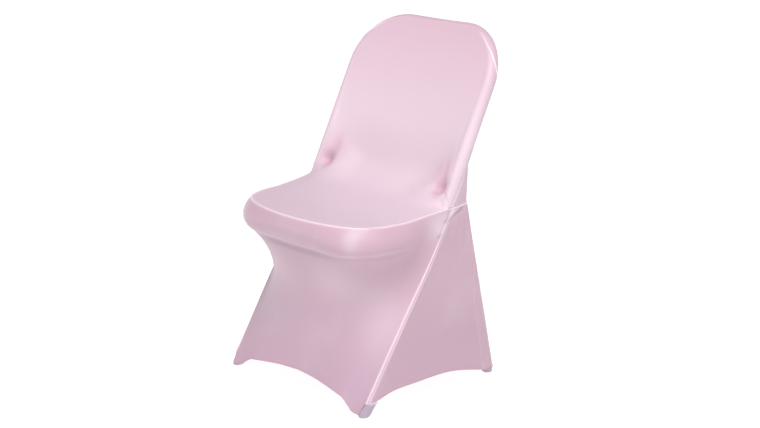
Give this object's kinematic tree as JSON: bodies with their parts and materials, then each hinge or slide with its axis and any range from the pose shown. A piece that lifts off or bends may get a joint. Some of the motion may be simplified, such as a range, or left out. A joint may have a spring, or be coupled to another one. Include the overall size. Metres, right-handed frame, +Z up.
{
  "type": "stretch chair cover",
  "caption": "Blush pink stretch fabric cover for a folding chair, fitted over seat, back and legs, with a foot pocket at each leg.",
  "frame": {"origin": "middle of the underside of the cover's top, where it hangs on the backrest's top rail", "axes": "+Z up, X across the chair, the seat facing -Y"},
  "size_m": [0.4604, 0.4843, 0.7735],
  "materials": {
    "seat_cloth": "matte knit with a soft sheen",
    "back_cloth": "matte knit with a soft sheen",
    "skirt_cloth": "matte knit with a soft sheen",
    "right_gore_cloth": "matte knit with a soft sheen",
    "left_gore_cloth": "matte knit with a soft sheen",
    "front_pocket_right": "matte knit with a soft sheen",
    "front_pocket_left": "matte knit with a soft sheen",
    "rear_pocket_right": "matte knit with a soft sheen",
    "rear_pocket_left": "matte knit with a soft sheen"
  },
  "bodies": {
    "root": {"seat_and_inside_back": "seat_cloth", "outside_back": "back_cloth", "front_skirt": "skirt_cloth", "side_gore_right": "right_gore_cloth", "side_gore_left": "left_gore_cloth", "foot_pocket_front_right": "front_pocket_right", "foot_pocket_front_left": "front_pocket_left", "foot_pocket_rear_right": "rear_pocket_right", "foot_pocket_rear_left": "rear_pocket_left"}
  },
  "joints": []
}
